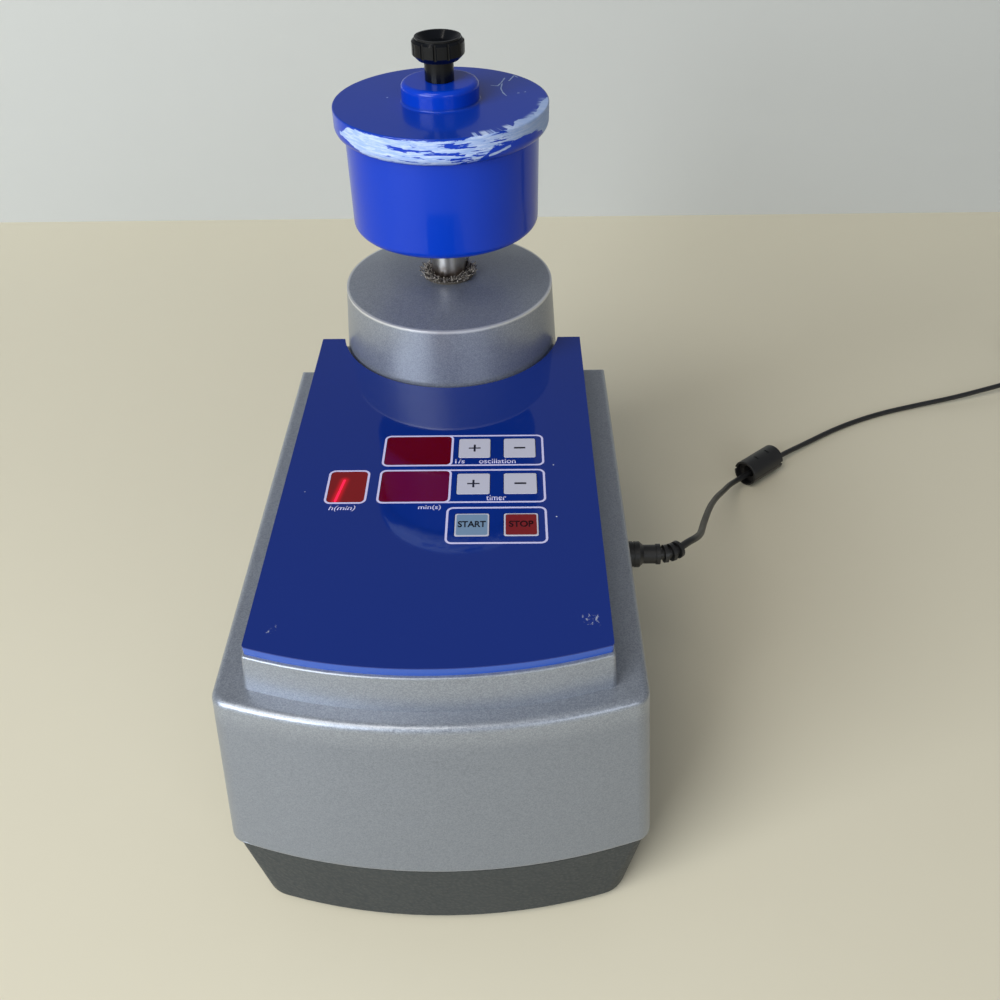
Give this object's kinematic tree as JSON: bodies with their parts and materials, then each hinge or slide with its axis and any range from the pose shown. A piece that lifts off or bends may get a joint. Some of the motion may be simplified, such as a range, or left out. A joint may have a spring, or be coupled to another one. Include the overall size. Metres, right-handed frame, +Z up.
{
  "type": "bead mill homogenizer",
  "caption": "Bench bead mill: a shaft from a tower shakes a lidded tube pot up and down, set by keys on a sloping-sided housing with a control panel.",
  "frame": {"origin": "on the table, under the middle of the instrument's length and width without its lead", "axes": "+X to the user's right, +Y to the back, +Z up"},
  "size_m": [0.6931, 0.4811, 0.3016],
  "materials": {
    "silver_paint": "metallic silver paint",
    "grey_tray": "leather grain",
    "rubber": "matte",
    "blue_panel": "gloss",
    "red_filter": "dark translucent red",
    "felt": "felt",
    "circuit_board": "solder mask",
    "brass": "turned",
    "steel": "ground",
    "black_plastic": "gloss",
    "plated_steel": "zinc plated",
    "bare_aluminium": "machined",
    "bronze": "sintered",
    "white_plastic": "machined",
    "blue_aluminium": "glossy blue lacquer",
    "insert_plastic": "machined",
    "ferrite": "sintered ferrite",
    "lead_sheath": "satin",
    "grey_key": "satin",
    "blue_key": "satin",
    "red_key": "satin"
  },
  "bodies": {
    "base": {"housing": "silver_paint", "base_tray": "grey_tray", "rubber_feet": "rubber", "control_panel": "blue_panel", "oscillation_window": "red_filter", "timer_window": "red_filter", "hour_window": "red_filter", "wiper_felt": "felt", "control_board": "circuit_board", "board_standoffs": "brass", "board_screws": "steel", "led_displays": "black_plastic", "key_switches": "black_plastic", "rubber_mounts": "rubber", "chassis_plate": "plated_steel", "bearing_column": "bare_aluminium", "column_screws": "steel", "lower_bush": "bronze", "upper_bush": "bronze", "motor_bracket": "plated_steel", "motor_body": "plated_steel", "motor_screws": "steel", "driver_board": "circuit_board", "driver_pillars": "brass", "power_inlet": "black_plastic", "inlet_nut": "steel", "casing_screws": "steel", "dc_plug": "black_plastic", "dc_lead": "lead_sheath", "ferrite_case": "black_plastic", "ferrite_core": "ferrite", "lead_coil": "lead_sheath", "lead_tie": "lead_sheath", "supply_lead": "lead_sheath", "power_supply": "black_plastic", "supply_pins": "steel"},
    "head": {"drive_shaft": "steel", "yoke": "bare_aluminium", "slide_pads": "white_plastic", "pot": "blue_aluminium", "pot_nut": "steel", "head_stud": "steel", "tube_insert": "insert_plastic"},
    "crank": {"motor_shaft": "steel", "crank_disc": "bare_aluminium", "roller_clip": "steel"},
    "roller": {"crank_roller": "steel"},
    "lid": {"lid": "blue_aluminium", "lid_seal": "rubber"},
    "knob": {"knob": "black_plastic", "knob_insert": "bronze", "knob_clip": "steel"},
    "oscillation_up_key": {"oscillation_up_key": "grey_key"},
    "oscillation_down_key": {"oscillation_down_key": "grey_key"},
    "timer_up_key": {"timer_up_key": "grey_key"},
    "timer_down_key": {"timer_down_key": "grey_key"},
    "start_key": {"start_key": "blue_key"},
    "stop_key": {"stop_key": "red_key"}
  },
  "joints": [
    {"name": "head_stroke", "type": "slide", "parent": "base", "child": "head", "axis": [0, 0, 1], "range_m": [-0.0035, 0.0035]},
    {"name": "crank_turn", "type": "hinge", "parent": "base", "child": "crank", "pos_m": [0, 0.0765, 0.066], "axis": [0, -1, 0], "range_deg": [-60, 60]},
    {"name": "roller_spin", "type": "hinge", "parent": "crank", "child": "roller", "pos_m": [0.004, 0.0955, 0.066], "axis": [0, -1, 0], "continuous": true},
    {"name": "lid_lift", "type": "slide", "parent": "head", "child": "lid", "axis": [0, 0, 1], "range_m": [0, 0.075]},
    {"name": "knob_turn", "type": "hinge", "parent": "lid", "child": "knob", "pos_m": [0, 0.0955, 0.29], "axis": [0, 0, 1], "continuous": true},
    {"name": "oscillation_up_key_press", "type": "slide", "parent": "base", "child": "oscillation_up_key", "axis": [0, 0, -1], "range_m": [0, 0.0005], "stiffness_N_per_m": 4000},
    {"name": "oscillation_down_key_press", "type": "slide", "parent": "base", "child": "oscillation_down_key", "axis": [0, 0, -1], "range_m": [0, 0.0005], "stiffness_N_per_m": 4000},
    {"name": "timer_up_key_press", "type": "slide", "parent": "base", "child": "timer_up_key", "axis": [0, 0, -1], "range_m": [0, 0.0005], "stiffness_N_per_m": 4000},
    {"name": "timer_down_key_press", "type": "slide", "parent": "base", "child": "timer_down_key", "axis": [0, 0, -1], "range_m": [0, 0.0005], "stiffness_N_per_m": 4000},
    {"name": "start_key_press", "type": "slide", "parent": "base", "child": "start_key", "axis": [0, 0, -1], "range_m": [0, 0.0005], "stiffness_N_per_m": 4000},
    {"name": "stop_key_press", "type": "slide", "parent": "base", "child": "stop_key", "axis": [0, 0, -1], "range_m": [0, 0.0005], "stiffness_N_per_m": 4000}
  ],
  "couplings": [
    {"joint": "crank_turn", "follows": "head_stroke", "rad_per_m": 287.4}
  ]
}
